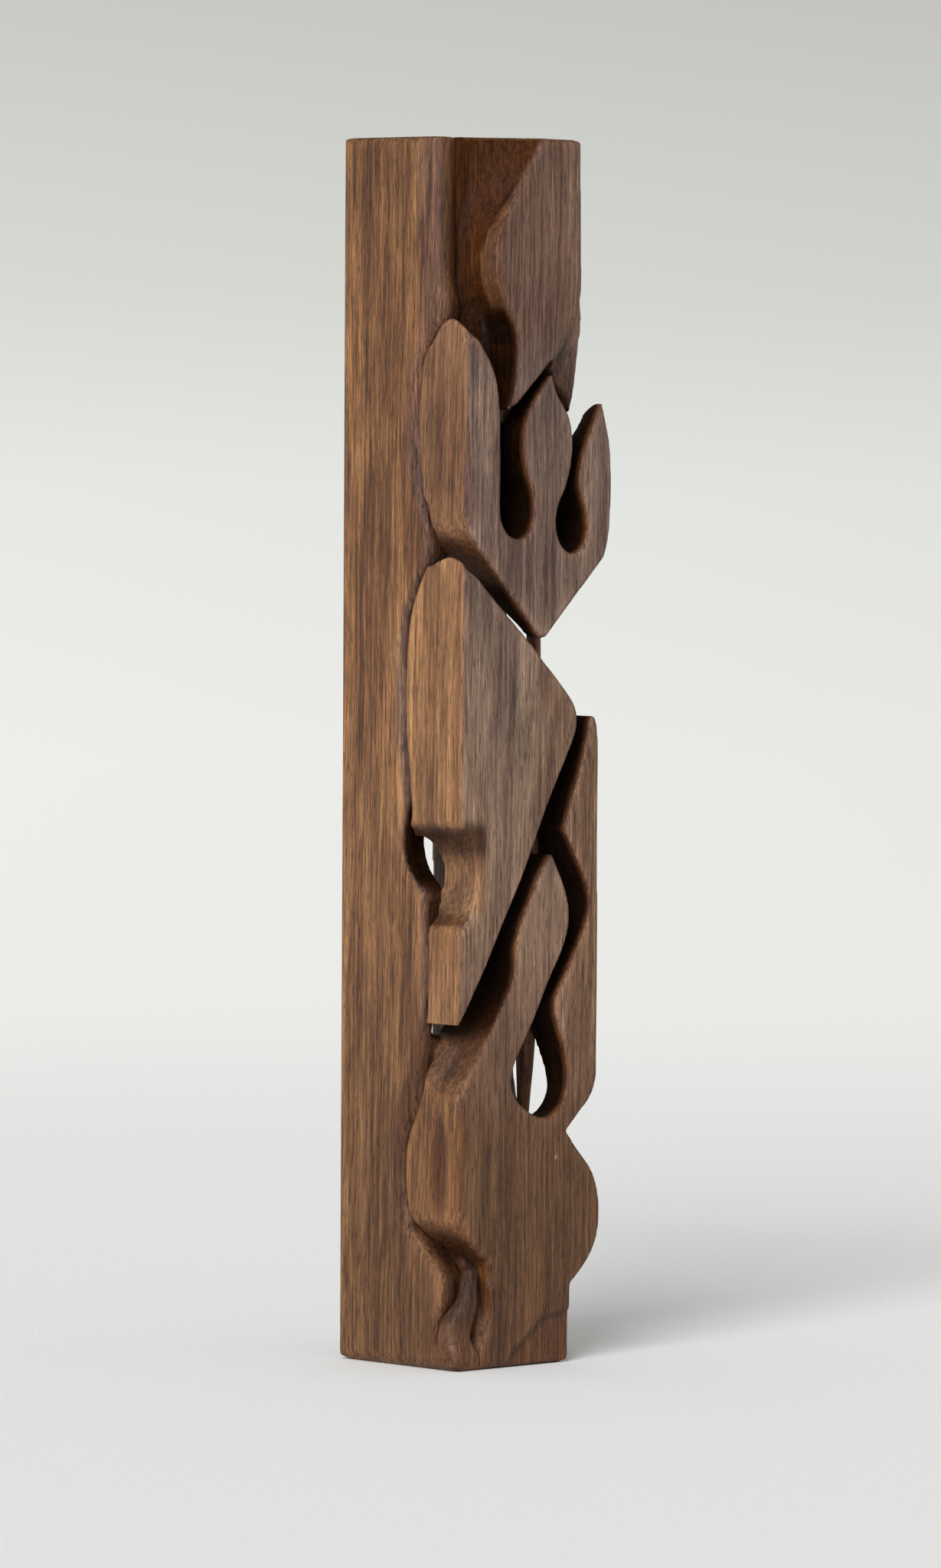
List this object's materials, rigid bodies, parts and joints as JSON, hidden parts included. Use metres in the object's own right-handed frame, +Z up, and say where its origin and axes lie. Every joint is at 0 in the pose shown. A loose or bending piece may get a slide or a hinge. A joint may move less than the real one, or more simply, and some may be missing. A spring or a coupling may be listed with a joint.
{
  "type": "carved headrest",
  "caption": "Slender openwork wooden headrest stood on its end: a plain board frame with four pierced, carved front panels.",
  "frame": {"origin": "middle of the foot's lowest face, at the centre of the whole object's box", "axes": "+Z up the post; the carved face looks along -Y and the plain board's face looks along -X"},
  "size_m": [0.054, 0.047, 0.32],
  "materials": {
    "board_wood": "hand planed, oiled satin walnut",
    "panel_wood": "carved and sanded, oiled satin walnut",
    "core_wood": "sawn and planed walnut",
    "dowel_wood": "bare turned hardwood"
  },
  "bodies": {
    "root": {"back_board": "board_wood", "base_block": "core_wood", "base_block_left_dowel_1": "dowel_wood", "base_block_left_dowel_2": "dowel_wood", "base_block_right_dowel_1": "dowel_wood", "base_block_right_dowel_2": "dowel_wood", "base_knot": "panel_wood", "blade_dowel_1": "dowel_wood", "blade_dowel_2": "dowel_wood", "blade_dowel_3": "dowel_wood", "blade_panel": "panel_wood", "foot_dowel_1": "dowel_wood", "foot_dowel_2": "dowel_wood", "leaf_dowel_1": "dowel_wood", "leaf_dowel_2": "dowel_wood", "leaf_panel": "panel_wood", "prong_dowel_1": "dowel_wood", "prong_dowel_2": "dowel_wood", "prong_panel": "panel_wood", "rear_post": "panel_wood", "side_board": "board_wood", "spear_dowel_1": "dowel_wood", "spear_dowel_2": "dowel_wood", "spear_panel": "panel_wood", "top_block": "core_wood", "top_block_left_dowel_1": "dowel_wood", "top_block_left_dowel_2": "dowel_wood", "top_block_right_dowel_1": "dowel_wood", "top_block_right_dowel_2": "dowel_wood"}
  },
  "joints": []
}
